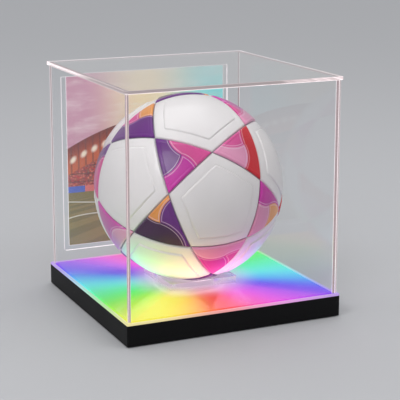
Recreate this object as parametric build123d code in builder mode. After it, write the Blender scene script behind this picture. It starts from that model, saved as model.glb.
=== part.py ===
from build123d import *
from math import atan, cos, pi, sqrt
import os

# Display case for one match ball: a clear box that lifts off a black, lit base.
# Millimetres. Origin under the middle of the base, +Z up, front face towards -Y,
# picture pocket on the rear face at +Y.

# Clear cover, whose square sets the base, the top and the pocket
WALL_SIDE = 255.0
WALL_THICK = 4.0
WALL_CLEAR_HEIGHT = 246.5
TOP_OVERHANG = 2.25
TOP_THICK = 4.0
TOP_CORNER = 2.0
EDGE_POLISH = 0.4

# Base
BASE_MARGIN = 3.0
BASE_CORNER = 1.5
SHELL_HEIGHT = 23.5
SHELL_WALL = 3.0
LEDGE_WIDTH = 4.0
LEDGE_THICK = 1.5
BOSS_SIDE = 10.0
BOSS_HEIGHT = 8.3
BOTTOM_THICK = 2.5
PART_GAP = 0.3

# Feet
FOOT_STAND = 1.2
FOOT_RECESS = 1.0
FOOT_RADIUS = 8.0
FOOT_INSET = 26.0

# Screws that hold the bottom cover
SCREW_RADIUS = 1.4
SCREW_LENGTH = 8.0
SCREW_HEAD_RADIUS = 2.8
SCREW_HEAD_HEIGHT = 1.4
SCREW_CLEARANCE = 0.15

# Light plate and the light behind it
PLATE_THICK = 2.5
GROOVE_DEPTH = 0.8
GROOVE_CLEARANCE = 0.3
DIFFUSER_THICK = 3.0
REFLECTOR_THICK = 0.8
REFLECTOR_MARGIN = 4.5
TAPE_HEIGHT = 5.0
TAPE_THICK = 0.5
TAPE_BEND = 6.0
TAPE_DROP = 0.8
CHIP_SIDE = 3.5
CHIP_THICK = 1.4
CHIP_COUNT = 11
CHIP_MARGIN = 26.7

# Controller board at the rear
BOARD_WIDTH = 62.0
BOARD_DEPTH = 24.0
BOARD_THICK = 1.6
STANDOFF = 1.5
STANDOFF_RADIUS = 2.5
BOARD_GAP = 1.0
BOARD_SCREW_RADIUS = 1.0
BOARD_SCREW_HEAD = 2.0
SOCKET_X = -16.0
SOCKET_WIDTH = 9.0
SOCKET_HEIGHT = 3.3
SOCKET_DEPTH = 7.4
SOCKET_METAL = 0.35
SOCKET_SET_BACK = 0.5
TONGUE_WIDTH = 6.7
TONGUE_THICK = 0.7
TONGUE_DEPTH = 4.6

# Push button beside the socket
BUTTON_X = 14.0
BUTTON_RADIUS = 3.3
BUTTON_CLEARANCE = 0.3
BUTTON_TRAVEL = 0.8
BUTTON_FLANGE = 4.2
BUTTON_FLANGE_THICK = 1.0
SWITCH_SIDE = 6.0
SWITCH_DEPTH = 3.5
PLUNGER_RADIUS = 1.75
PLUNGER_LENGTH = 0.4
LEAD_X = 26.0
LEAD_WIDTH = 4.2
LEAD_THICK = 0.8

# Picture pocket on the rear wall
POCKET_INSET = 17.1
POCKET_FOOT = 13.0
POCKET_HEAD = 16.1
CARD_THICK = 0.5
CARD_CLEARANCE = 0.4
STRIP_WIDTH = 6.0
STRIP_THICK = 1.0
STRIP_CORNER = 3.0
POCKET_SHEET = 2.0

# Riser and ball
RISER_SIDE = 84.0
RISER_HEIGHT = 8.0
RISER_CORNER = 2.0
SEAT_RADIUS = 38.0
SEAT_BEVEL = 2.0
SEAT_GAP = 0.25
BALL_RADIUS = 110.0
COVER_THICK = 2.6
PANEL_SEAM = 1.0
PANEL_EDGE = 0.6
PAD_STEP = 0.5
PAD_SHARE = 0.74
BLADDER_THICK = 1.5
BLADDER_GAP = 0.15
VALVE_RADIUS = 3.0
VALVE_CLEARANCE = 0.2
BALL_TILT_X = -3.0
BALL_TILT_Y = -22.0
BALL_TURN_Z = 26.0

# Places worked out from the sizes above
base_side = WALL_SIDE + 2 * BASE_MARGIN
top_side = WALL_SIDE + 2 * TOP_OVERHANG
shell_bottom = FOOT_STAND
shell_top = shell_bottom + SHELL_HEIGHT
inner_side = base_side - 2 * SHELL_WALL
floor_top = shell_bottom + BOTTOM_THICK
ledge_top = shell_top - DIFFUSER_THICK
plate_top = shell_top + PLATE_THICK
wall_bottom = plate_top - GROOVE_DEPTH
wall_top = plate_top + WALL_CLEAR_HEIGHT
wall_outer = WALL_SIDE / 2
rear_inside = inner_side / 2
boss_reach = rear_inside - BOSS_SIDE / 2
foot_reach = base_side / 2 - FOOT_INSET
riser_top = plate_top + RISER_HEIGHT
ball_height = riser_top + SEAT_GAP + sqrt(BALL_RADIUS**2 - SEAT_RADIUS**2)

os.makedirs("parts", exist_ok=True)


def save(piece, label):
    """Label a finished piece and write it as its own file."""
    piece.part.label = label
    export_step(piece.part, f"parts/{label}.step")


# Base shell: a square frame with a ledge for the diffuser and a screw boss in each corner
board_bottom = floor_top + STANDOFF
board_top = board_bottom + BOARD_THICK
socket_height = board_top + SOCKET_HEIGHT / 2
switch_height = board_top + SWITCH_SIDE / 2
button_height = switch_height

with BuildPart() as base_shell:
    with BuildSketch(Plane.XY.offset(shell_bottom)):
        RectangleRounded(base_side, base_side, BASE_CORNER)
        Rectangle(inner_side, inner_side, mode=Mode.SUBTRACT)
    extrude(amount=SHELL_HEIGHT)
    with BuildSketch(Plane.XY.offset(ledge_top)):
        Rectangle(inner_side, inner_side)
        Rectangle(inner_side - 2 * LEDGE_WIDTH, inner_side - 2 * LEDGE_WIDTH, mode=Mode.SUBTRACT)
    extrude(amount=-LEDGE_THICK)
    with BuildSketch(Plane.XY.offset(floor_top)):
        with GridLocations(2 * boss_reach, 2 * boss_reach, 2, 2):
            Rectangle(BOSS_SIDE, BOSS_SIDE)
            Circle(SCREW_RADIUS + SCREW_CLEARANCE, mode=Mode.SUBTRACT)
    extrude(amount=BOSS_HEIGHT)
    with BuildSketch(Plane.XZ.offset(-rear_inside)):
        with Locations((SOCKET_X, socket_height)):
            RectangleRounded(SOCKET_WIDTH + 2 * PART_GAP, SOCKET_HEIGHT + 2 * PART_GAP, SOCKET_HEIGHT / 2)
        with Locations((BUTTON_X, button_height)):
            Circle(BUTTON_RADIUS + BUTTON_CLEARANCE)
    extrude(amount=-SHELL_WALL, mode=Mode.SUBTRACT)
save(base_shell, "base_shell")

# Bottom cover: a plate inside the shell with foot recesses, screw holes and board posts
cover_side = inner_side - 2 * PART_GAP
board_rear = rear_inside - BOARD_GAP
board_middle = board_rear - BOARD_DEPTH / 2
post_reach_x = BOARD_WIDTH / 2 - STANDOFF_RADIUS - 1.0
post_y = board_rear - BOARD_DEPTH + STANDOFF_RADIUS + 1.0

with BuildPart() as bottom_cover:
    with BuildSketch(Plane.XY.offset(shell_bottom)):
        Rectangle(cover_side, cover_side)
    extrude(amount=BOTTOM_THICK)
    with BuildSketch(Plane.XY.offset(shell_bottom)):
        with GridLocations(2 * foot_reach, 2 * foot_reach, 2, 2):
            Circle(FOOT_RADIUS + PART_GAP)
    extrude(amount=FOOT_RECESS, mode=Mode.SUBTRACT)
    with BuildSketch(Plane.XY.offset(floor_top)):
        with Locations((-post_reach_x, post_y), (post_reach_x, post_y)):
            Circle(STANDOFF_RADIUS)
    extrude(amount=STANDOFF)
    with Locations(Plane.XY.offset(shell_bottom)):
        with GridLocations(2 * boss_reach, 2 * boss_reach, 2, 2):
            Cylinder(SCREW_HEAD_RADIUS + SCREW_CLEARANCE, SCREW_HEAD_HEIGHT,
                     align=(Align.CENTER, Align.CENTER, Align.MIN), mode=Mode.SUBTRACT)
            Cylinder(SCREW_RADIUS + SCREW_CLEARANCE, BOTTOM_THICK,
                     align=(Align.CENTER, Align.CENTER, Align.MIN), mode=Mode.SUBTRACT)
    with Locations(Plane.XY.offset(shell_bottom)):
        with Locations((-post_reach_x, post_y), (post_reach_x, post_y)):
            Cylinder(BOARD_SCREW_RADIUS + SCREW_CLEARANCE, BOTTOM_THICK + STANDOFF,
                     align=(Align.CENTER, Align.CENTER, Align.MIN), mode=Mode.SUBTRACT)
save(bottom_cover, "bottom_cover")

# Rubber feet
with BuildPart() as rubber_feet:
    with BuildSketch(Plane.XY):
        with GridLocations(2 * foot_reach, 2 * foot_reach, 2, 2):
            Circle(FOOT_RADIUS)
    extrude(amount=FOOT_STAND + FOOT_RECESS)
    chamfer(rubber_feet.edges().group_by(Axis.Z)[0], length=0.5)
save(rubber_feet, "rubber_feet")

# Cross-slotted screws through the bottom cover
with BuildPart() as cover_screws:
    with Locations(Plane.XY.offset(shell_bottom)):
        with GridLocations(2 * boss_reach, 2 * boss_reach, 2, 2):
            Cylinder(SCREW_HEAD_RADIUS, SCREW_HEAD_HEIGHT, align=(Align.CENTER, Align.CENTER, Align.MIN))
            Cylinder(SCREW_RADIUS, SCREW_LENGTH, align=(Align.CENTER, Align.CENTER, Align.MIN))
            Box(SCREW_HEAD_RADIUS, 0.7, 1.0, mode=Mode.SUBTRACT)
            Box(0.7, SCREW_HEAD_RADIUS, 1.0, mode=Mode.SUBTRACT)
save(cover_screws, "cover_screws")

# Reflector sheet on the floor, notched round the board
notch_width = BOARD_WIDTH + 4.0
notch_front = board_rear - BOARD_DEPTH - 2.0

reflector_side = inner_side - 2 * BOSS_SIDE - 2 * REFLECTOR_MARGIN
with BuildPart() as reflector_sheet:
    with BuildSketch(Plane.XY.offset(floor_top)):
        Rectangle(reflector_side, reflector_side)
        with Locations((0, notch_front)):
            Rectangle(notch_width, reflector_side / 2, align=(Align.CENTER, Align.MIN), mode=Mode.SUBTRACT)
    extrude(amount=REFLECTOR_THICK)
save(reflector_sheet, "reflector_sheet")

# Diffuser sheet on the ledge, flush with the top of the shell
diffuser_side = inner_side - 2 * PART_GAP
with BuildPart() as diffuser_sheet:
    with BuildSketch(Plane.XY.offset(ledge_top)):
        Rectangle(diffuser_side, diffuser_side)
    extrude(amount=DIFFUSER_THICK)
save(diffuser_sheet, "diffuser_sheet")

# Light plate: clear, over the whole base, with a groove that the cover's walls stand in
groove_outer = WALL_SIDE + 2 * GROOVE_CLEARANCE
groove_inner = WALL_SIDE - 2 * WALL_THICK - 2 * GROOVE_CLEARANCE
with BuildPart() as light_plate:
    with BuildSketch(Plane.XY.offset(shell_top)):
        RectangleRounded(base_side, base_side, BASE_CORNER)
    extrude(amount=PLATE_THICK)
    chamfer(light_plate.faces().sort_by(Axis.Z)[-1].edges(), length=EDGE_POLISH)
    with BuildSketch(Plane.XY.offset(plate_top)):
        Rectangle(groove_outer, groove_outer)
        Rectangle(groove_inner, groove_inner, mode=Mode.SUBTRACT)
    extrude(amount=-GROOVE_DEPTH, mode=Mode.SUBTRACT)
save(light_plate, "light_plate")

# Light tape stuck round the inside of the shell, and the light chips on it
tape_side = inner_side - 2 * PART_GAP
tape_top = ledge_top - LEDGE_THICK - TAPE_DROP
tape_face = tape_side / 2 - TAPE_THICK
with BuildPart() as led_tape:
    with BuildSketch(Plane.XY.offset(tape_top)):
        RectangleRounded(tape_side, tape_side, TAPE_BEND)
        RectangleRounded(2 * tape_face, 2 * tape_face, TAPE_BEND - TAPE_THICK, mode=Mode.SUBTRACT)
    extrude(amount=-TAPE_HEIGHT)
save(led_tape, "led_tape")

chip_pitch = (2 * tape_face - 2 * CHIP_MARGIN) / (CHIP_COUNT - 1)
with BuildPart() as led_chips:
    with BuildSketch(Plane.XY.offset(tape_top - TAPE_HEIGHT / 2 - CHIP_SIDE / 2)):
        with GridLocations(chip_pitch, 2 * tape_face - CHIP_THICK, CHIP_COUNT, 2):
            Rectangle(CHIP_SIDE, CHIP_THICK)
        with GridLocations(2 * tape_face - CHIP_THICK, chip_pitch, 2, CHIP_COUNT):
            Rectangle(CHIP_THICK, CHIP_SIDE)
    extrude(amount=CHIP_SIDE)
save(led_chips, "led_chips")

# Controller board, cut back behind the button, with a chip, a capacitor and the tape's plug
flange_rear = rear_inside - PART_GAP
flange_front = flange_rear - BUTTON_FLANGE_THICK
flange_pressed = flange_front - BUTTON_TRAVEL - PART_GAP
with BuildPart() as controller_board:
    with BuildSketch(Plane.XY.offset(board_bottom)):
        with Locations((0, board_middle)):
            RectangleRounded(BOARD_WIDTH, BOARD_DEPTH, 1.0)
        with Locations((BUTTON_X, flange_pressed)):
            Rectangle(2 * BUTTON_FLANGE + 2 * PART_GAP, BOARD_DEPTH, align=(Align.CENTER, Align.MIN),
                      mode=Mode.SUBTRACT)
        with Locations((-post_reach_x, post_y), (post_reach_x, post_y)):
            Circle(BOARD_SCREW_RADIUS + SCREW_CLEARANCE, mode=Mode.SUBTRACT)
    extrude(amount=BOARD_THICK)
save(controller_board, "controller_board")

plug_depth = 4.0
plug_height = 3.6
plug_y = board_middle - 4.0
with BuildPart() as board_parts:
    with BuildSketch(Plane.XY.offset(board_top)):
        with Locations((-2.0, board_middle - 3.0)):
            Rectangle(7.0, 5.0)
    extrude(amount=1.2)
    with BuildSketch(Plane.XY.offset(board_top)):
        with Locations((9.0, board_middle - 4.0)):
            Circle(2.5)
    extrude(amount=5.0)
    with BuildSketch(Plane.XY.offset(board_top)):
        with Locations((LEAD_X, plug_y)):
            Rectangle(LEAD_WIDTH + 1.6, plug_depth)
    extrude(amount=plug_height)
save(board_parts, "board_parts")

# Two screws hold the board on its posts
board_screw_length = BOARD_THICK + STANDOFF + BOTTOM_THICK - 1.0
with BuildPart() as board_screws:
    with Locations(Plane.XY.offset(board_top)):
        with Locations((-post_reach_x, post_y), (post_reach_x, post_y)):
            Cylinder(BOARD_SCREW_HEAD, 1.2, align=(Align.CENTER, Align.CENTER, Align.MIN))
            Cylinder(BOARD_SCREW_RADIUS, board_screw_length, align=(Align.CENTER, Align.CENTER, Align.MAX))
save(board_screws, "board_screws")

# Power socket: a pressed metal shell, open to the rear, with its tongue inside
socket_mouth = base_side / 2 - SOCKET_SET_BACK
socket_plane = Plane.XZ.offset(-(socket_mouth - SOCKET_DEPTH))
with BuildPart() as usb_socket:
    with BuildSketch(socket_plane):
        with Locations((SOCKET_X, socket_height)):
            RectangleRounded(SOCKET_WIDTH, SOCKET_HEIGHT, SOCKET_HEIGHT / 2 - 0.05)
    extrude(amount=-SOCKET_DEPTH)
    with BuildSketch(Plane.XZ.offset(-(socket_mouth - SOCKET_DEPTH + 1.0))):
        with Locations((SOCKET_X, socket_height)):
            RectangleRounded(SOCKET_WIDTH - 2 * SOCKET_METAL, SOCKET_HEIGHT - 2 * SOCKET_METAL,
                             SOCKET_HEIGHT / 2 - SOCKET_METAL - 0.05)
    extrude(amount=1.0 - SOCKET_DEPTH, mode=Mode.SUBTRACT)
save(usb_socket, "usb_socket")

with BuildPart() as socket_tongue:
    with BuildSketch(Plane.XZ.offset(-(socket_mouth - SOCKET_DEPTH + 1.0))):
        with Locations((SOCKET_X, socket_height)):
            Rectangle(TONGUE_WIDTH, TONGUE_THICK)
    extrude(amount=-TONGUE_DEPTH)
save(socket_tongue, "socket_tongue")

# Mode switch on the board and the button cap that works it through the rear wall
button_face = base_side / 2
switch_rear = flange_pressed - PLUNGER_LENGTH
with BuildPart() as mode_switch:
    with BuildSketch(Plane.XZ.offset(-switch_rear)):
        with Locations((BUTTON_X, switch_height)):
            Rectangle(SWITCH_SIDE, SWITCH_SIDE)
    extrude(amount=SWITCH_DEPTH)
save(mode_switch, "mode_switch")

with BuildPart() as button_cap:
    with BuildSketch(Plane.XZ.offset(-flange_front)):
        with Locations((BUTTON_X, button_height)):
            Circle(BUTTON_FLANGE)
    extrude(amount=-BUTTON_FLANGE_THICK)
    with BuildSketch(Plane.XZ.offset(-flange_front)):
        with Locations((BUTTON_X, button_height)):
            Circle(BUTTON_RADIUS)
    extrude(amount=-(button_face - flange_front))
    fillet(button_cap.edges().group_by(Axis.Y)[-1], radius=0.6)
    with BuildSketch(Plane.XZ.offset(-flange_front)):
        with Locations((BUTTON_X, button_height)):
            Circle(PLUNGER_RADIUS)
    extrude(amount=flange_front - switch_rear - BUTTON_TRAVEL)
save(button_cap, "button_cap")

# Flat lead from the board's plug up to the tape
lead_low = board_top + plug_height / 2
lead_high = tape_top - TAPE_HEIGHT / 2
lead_rear = tape_face - LEAD_THICK / 2
with BuildPart() as strip_lead:
    with BuildSketch(Plane.YZ.offset(LEAD_X - LEAD_WIDTH / 2)):
        with BuildLine():
            FilletPolyline((plug_y + plug_depth / 2, lead_low), (lead_rear, lead_low),
                           (lead_rear, lead_high), radius=3.0)
        trace(line_width=LEAD_THICK)
    extrude(amount=LEAD_WIDTH)
save(strip_lead, "strip_lead")

# Clear cover: front and rear walls run full width, side walls stand between them
wall_height = wall_top - wall_bottom


def wall(plane, width):
    """One upright sheet of the cover, with polished edges."""
    with BuildPart() as sheet:
        with BuildSketch(plane):
            Rectangle(width, wall_height, align=(Align.CENTER, Align.MIN))
        extrude(amount=WALL_THICK)
        chamfer(sheet.edges().filter_by(Axis.Z), length=EDGE_POLISH)
    return sheet


front_plane = Plane(origin=(0, -wall_outer + WALL_THICK, wall_bottom), x_dir=(1, 0, 0), z_dir=(0, -1, 0))
rear_plane = Plane(origin=(0, wall_outer, wall_bottom), x_dir=(1, 0, 0), z_dir=(0, -1, 0))
left_plane = Plane(origin=(-wall_outer, 0, wall_bottom), x_dir=(0, 1, 0), z_dir=(1, 0, 0))
right_plane = Plane(origin=(wall_outer - WALL_THICK, 0, wall_bottom), x_dir=(0, 1, 0), z_dir=(1, 0, 0))
side_width = WALL_SIDE - 2 * WALL_THICK

front_panel = wall(front_plane, WALL_SIDE)
save(front_panel, "front_panel")
rear_panel = wall(rear_plane, WALL_SIDE)
save(rear_panel, "rear_panel")
left_panel = wall(left_plane, side_width)
save(left_panel, "left_panel")
right_panel = wall(right_plane, side_width)
save(right_panel, "right_panel")

with BuildPart() as top_panel:
    with BuildSketch(Plane.XY.offset(wall_top)):
        RectangleRounded(top_side, top_side, TOP_CORNER)
    extrude(amount=TOP_THICK)
    chamfer(top_panel.edges().group_by(Axis.Z)[-1], length=EDGE_POLISH)
    chamfer(top_panel.edges().group_by(Axis.Z)[0], length=EDGE_POLISH)
save(top_panel, "top_panel")

# Picture pocket: a U-shaped spacer and a clear sheet behind it, open at the top
pocket_width = WALL_SIDE - 2 * POCKET_INSET
pocket_height = WALL_CLEAR_HEIGHT - POCKET_FOOT - POCKET_HEAD
slot_width = pocket_width - 2 * STRIP_WIDTH
card_width = slot_width - 2 * CARD_CLEARANCE
card_height = pocket_height - STRIP_WIDTH - CARD_CLEARANCE
pocket_bottom = plate_top + POCKET_FOOT
pocket_plane = Plane(origin=(0, wall_outer, pocket_bottom), x_dir=(-1, 0, 0), z_dir=(0, 1, 0))


def pocket_outline():
    """Outline of the pocket: square at the top, rounded at the two bottom corners."""
    with BuildSketch() as outline:
        Rectangle(pocket_width, pocket_height, align=(Align.CENTER, Align.MIN))
        fillet(outline.vertices().group_by(Axis.Y)[0], radius=STRIP_CORNER)
    return outline.sketch


with BuildPart() as pocket_spacer:
    with BuildSketch(pocket_plane):
        add(pocket_outline())
        with Locations((0, STRIP_WIDTH)):
            Rectangle(slot_width, pocket_height, align=(Align.CENTER, Align.MIN), mode=Mode.SUBTRACT)
    extrude(amount=STRIP_THICK)
save(pocket_spacer, "pocket_spacer")

with BuildPart() as pocket_sheet:
    with BuildSketch(pocket_plane.offset(STRIP_THICK)):
        add(pocket_outline())
    extrude(amount=POCKET_SHEET)
save(pocket_sheet, "pocket_sheet")

with BuildPart() as picture_card:
    with BuildSketch(pocket_plane.offset((STRIP_THICK - CARD_THICK) / 2)):
        with Locations((0, STRIP_WIDTH + CARD_CLEARANCE / 2)):
            Rectangle(card_width, card_height, align=(Align.CENTER, Align.MIN))
    extrude(amount=CARD_THICK)
save(picture_card, "picture_card")

# Riser: a low clear block with a bevelled round seat for the ball
with BuildPart() as riser:
    with BuildSketch(Plane.XY.offset(plate_top)):
        RectangleRounded(RISER_SIDE, RISER_SIDE, RISER_CORNER)
        Circle(SEAT_RADIUS - SEAT_BEVEL, mode=Mode.SUBTRACT)
    extrude(amount=RISER_HEIGHT)
    chamfer(riser.edges().filter_by(GeomType.CIRCLE).filter_by_position(Axis.Z, riser_top, riser_top)
            .sort_by(SortBy.RADIUS)[-1], length=SEAT_BEVEL)
save(riser, "riser")

# Ball: twelve five-sided and twenty three-sided panels over a bladder.
# The seams lie on six great circles, each square to one line through two opposite five-sided panels.
golden = (1 + sqrt(5)) / 2
ball_turn = Location((0, 0, 0), (BALL_TILT_X, BALL_TILT_Y, BALL_TURN_Z))
ball_centre = Vector(0, 0, ball_height)
five_axes = []
for a in (-1, 1):
    for b in (-golden, golden):
        for point in ((0, a, b), (a, b, 0), (b, 0, a)):
            five_axes.append((ball_turn * Pos(*point)).position.normalized())


def side_by_side(first, second):
    """True for two neighbouring five-sided panels."""
    return 0 < first.dot(second) < 0.9


def panel_plane(axis, towards):
    """Plane at the ball's centre, square to a panel's axis, with +X towards one of its corners."""
    return Plane(origin=ball_centre, x_dir=towards - axis * axis.dot(towards), z_dir=axis)


five_planes = []
three_planes = []
for i, first in enumerate(five_axes):
    near = [axis for axis in five_axes if side_by_side(first, axis)]
    five_planes.append(panel_plane(first, first + near[0]))
    later = [axis for axis in five_axes[i + 1:] if side_by_side(first, axis)]
    for j, second in enumerate(later):
        for third in later[j + 1:]:
            if side_by_side(second, third):
                middle = (first + second + third).normalized()
                three_planes.append(panel_plane(middle, first + second))
three_planes.sort(key=lambda plane: plane.z_dir.Y)


def panel_wedge(sides, spread, share, seam):
    """Straight-sided wedge from near the ball's centre to beyond its surface."""
    with BuildPart() as wedge:
        for height in (0.5 * BALL_RADIUS, 1.1 * BALL_RADIUS):
            with BuildSketch(Plane.XY.offset(height)):
                RegularPolygon(height * spread * share - seam, sides)
        loft()
    return wedge.part


def ball_panel(sides, spread, step):
    """Curved slab between the seams, bevelled along its outer edges, with a raised pad if it has a step."""
    lean = atan(spread * cos(pi / sides))
    seam = PANEL_SEAM / 2 / cos(lean) / cos(pi / sides)
    with BuildPart() as panel:
        add(panel_wedge(sides, spread, 1, seam))
        Sphere(BALL_RADIUS - step, mode=Mode.INTERSECT)
        chamfer(panel.faces().filter_by(GeomType.SPHERE).edges(), length=PANEL_EDGE)
        if step:
            with BuildPart(mode=Mode.PRIVATE) as pad:
                add(panel_wedge(sides, spread, PAD_SHARE, 0))
                Sphere(BALL_RADIUS, mode=Mode.INTERSECT)
            add(pad.part)
        Sphere(BALL_RADIUS - COVER_THICK, mode=Mode.SUBTRACT)
    return panel.part


five_panel = ball_panel(5, 1 / golden, PAD_STEP)
with BuildPart() as ball_pentagons:
    with Locations(*five_planes):
        add(five_panel)
save(ball_pentagons, "ball_pentagons")

three_panel = ball_panel(3, 1 / golden**2, 0)
with BuildPart() as ball_triangles:
    with Locations(*three_planes):
        add(three_panel)
    with Locations(three_planes[-1].offset(BALL_RADIUS)):
        Cylinder(VALVE_RADIUS + VALVE_CLEARANCE, 2 * COVER_THICK, mode=Mode.SUBTRACT)
save(ball_triangles, "ball_triangles")

# Valve in the middle of one three-sided panel, and the bladder
valve_foot = BALL_RADIUS - COVER_THICK
with BuildPart() as ball_valve:
    with BuildSketch(three_planes[-1].offset(valve_foot)):
        Circle(VALVE_RADIUS)
    extrude(amount=COVER_THICK - PAD_STEP)
    with BuildSketch(three_planes[-1].offset(BALL_RADIUS - PAD_STEP)):
        Circle(VALVE_RADIUS / 4)
    extrude(amount=-COVER_THICK / 2, mode=Mode.SUBTRACT)
save(ball_valve, "ball_valve")

bladder_radius = BALL_RADIUS - COVER_THICK - BLADDER_GAP
with BuildPart() as ball_bladder:
    with Locations(ball_centre):
        Sphere(bladder_radius)
        Sphere(bladder_radius - BLADDER_THICK, mode=Mode.SUBTRACT)
save(ball_bladder, "ball_bladder")
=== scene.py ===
import bpy
import bmesh
import math
from mathutils import Vector, Matrix


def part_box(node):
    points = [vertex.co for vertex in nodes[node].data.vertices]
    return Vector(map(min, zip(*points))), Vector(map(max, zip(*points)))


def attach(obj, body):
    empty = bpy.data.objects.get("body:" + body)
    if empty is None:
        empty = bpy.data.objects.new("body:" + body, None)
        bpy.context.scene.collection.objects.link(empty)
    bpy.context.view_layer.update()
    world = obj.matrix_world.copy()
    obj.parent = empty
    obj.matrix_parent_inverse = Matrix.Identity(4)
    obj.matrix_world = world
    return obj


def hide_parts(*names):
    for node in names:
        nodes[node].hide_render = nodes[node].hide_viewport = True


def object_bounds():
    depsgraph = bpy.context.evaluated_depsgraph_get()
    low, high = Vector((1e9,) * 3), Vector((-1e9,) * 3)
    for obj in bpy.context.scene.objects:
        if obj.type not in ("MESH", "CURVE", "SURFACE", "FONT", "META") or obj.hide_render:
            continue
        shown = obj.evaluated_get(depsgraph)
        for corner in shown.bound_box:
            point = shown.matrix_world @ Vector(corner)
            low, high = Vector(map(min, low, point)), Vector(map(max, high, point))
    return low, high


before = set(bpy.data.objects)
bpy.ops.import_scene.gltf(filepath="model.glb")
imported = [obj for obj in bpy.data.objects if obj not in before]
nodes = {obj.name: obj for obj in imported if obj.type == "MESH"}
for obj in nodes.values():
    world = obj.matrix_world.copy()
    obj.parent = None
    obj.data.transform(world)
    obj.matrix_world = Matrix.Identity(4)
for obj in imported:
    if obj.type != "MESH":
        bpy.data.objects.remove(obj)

# A lit display case with a match ball inside. Metres, in the frame of the model.

MM = 0.001
FULL_TURN = 2 * math.pi
cad_low, cad_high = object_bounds()
plate_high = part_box("light_plate")[1]
wall_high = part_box("front_panel")[1]
riser_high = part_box("riser")[1]
card_low, card_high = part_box("picture_card")
ball_low, ball_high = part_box("ball_bladder")
ball_centre = (ball_low + ball_high) / 2


# Node helpers

FLOAT = "NodeSocketFloat"
COLOUR = "NodeSocketColor"
VECTOR = "NodeSocketVector"


def add_node(tree, kind, **settings):
    """Add a node to a tree and set its properties."""
    made = tree.nodes.new(kind)
    for key, value in settings.items():
        setattr(made, key, value)
    return made


def plug(tree, socket, value):
    """Set an input: a link if the value is a socket, else a constant. A colour is three shares."""
    if isinstance(value, bpy.types.NodeSocket):
        tree.links.new(value, socket)
    elif socket.type == "RGBA":
        socket.default_value = (*value, 1)
    else:
        socket.default_value = value


def calc(tree, operation, a, b=None, clamp=False):
    """One Math node."""
    made = add_node(tree, "ShaderNodeMath", operation=operation, use_clamp=clamp)
    plug(tree, made.inputs[0], a)
    if b is not None:
        plug(tree, made.inputs[1], b)
    return made.outputs[0]


def plus(tree, a, b, clamp=False):
    return calc(tree, "ADD", a, b, clamp)


def minus(tree, a, b, clamp=False):
    return calc(tree, "SUBTRACT", a, b, clamp)


def times(tree, a, b):
    return calc(tree, "MULTIPLY", a, b)


def away_from(tree, value, place):
    """How far a value is from a place, either way."""
    return calc(tree, "ABSOLUTE", minus(tree, value, place))


def flat_length(tree, a, b):
    """Length of the line that goes a across and b up."""
    return calc(tree, "SQRT", plus(tree, times(tree, a, a), times(tree, b, b)))


def between(tree, value, low, high):
    """1 between two values and 0 elsewhere."""
    return times(tree, calc(tree, "GREATER_THAN", value, low), calc(tree, "LESS_THAN", value, high))


def repeated(tree, value, count):
    """How far along each of a number of equal steps a value is."""
    return calc(tree, "FRACT", times(tree, value, count))


def vector_calc(tree, operation, a, b):
    """One Vector Math node; its value output for a dot product."""
    made = add_node(tree, "ShaderNodeVectorMath", operation=operation)
    plug(tree, made.inputs[0], a)
    plug(tree, made.inputs[1], b)
    return made.outputs["Value" if operation == "DOT_PRODUCT" else "Vector"]


def ramp_between(tree, value, low, high):
    """A smooth mask: 0 below low and 1 above high."""
    made = add_node(tree, "ShaderNodeMapRange", interpolation_type="SMOOTHSTEP")
    plug(tree, made.inputs["Value"], value)
    plug(tree, made.inputs["From Min"], low)
    plug(tree, made.inputs["From Max"], high)
    return made.outputs["Result"]


def colour_mix(tree, mask, a, b, way="MIX"):
    """One colour Mix node: a where the mask is 0, b where it is 1."""
    made = add_node(tree, "ShaderNodeMix", data_type="RGBA", blend_type=way)
    plug(tree, made.inputs[0], mask)
    plug(tree, made.inputs[6], a)
    plug(tree, made.inputs[7], b)
    return made.outputs[2]


def apart(tree, vector):
    """The three parts of a vector."""
    made = add_node(tree, "ShaderNodeSeparateXYZ")
    plug(tree, made.inputs[0], vector)
    return made.outputs[0], made.outputs[1], made.outputs[2]


def noise(tree, vector, scale, detail=2.0, roughness=0.5):
    """A noise value between 0 and 1."""
    made = add_node(tree, "ShaderNodeTexNoise")
    plug(tree, made.inputs["Vector"], vector)
    plug(tree, made.inputs["Scale"], scale)
    plug(tree, made.inputs["Detail"], detail)
    plug(tree, made.inputs["Roughness"], roughness)
    return made.outputs["Fac"]


def own_place(tree):
    """A piece's own coordinates, which stay with it when it moves."""
    return add_node(tree, "ShaderNodeTexCoord").outputs["Object"]


def start_group(name, inputs, outputs):
    """A node group with named sockets. Returns the group, then its inputs and its outputs by name."""
    tree = bpy.data.node_groups.new(name, "ShaderNodeTree")
    for label, kind, value in inputs:
        socket = tree.interface.new_socket(name=label, in_out="INPUT", socket_type=kind)
        socket.default_value = (*value, 1) if kind == COLOUR else value
    for label, kind in outputs:
        tree.interface.new_socket(name=label, in_out="OUTPUT", socket_type=kind)
    entry = tree.nodes.new("NodeGroupInput")
    leave = tree.nodes.new("NodeGroupOutput")
    return tree, entry.outputs, leave.inputs


def place_group(tree, group, **values):
    """Put a group into a material's tree and set its inputs. Returns its outputs."""
    made = add_node(tree, "ShaderNodeGroup", node_tree=group)
    for label, value in values.items():
        plug(tree, made.inputs[label.replace("_", " ")], value)
    return made.outputs


# Surface effects that several finishes share

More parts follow.
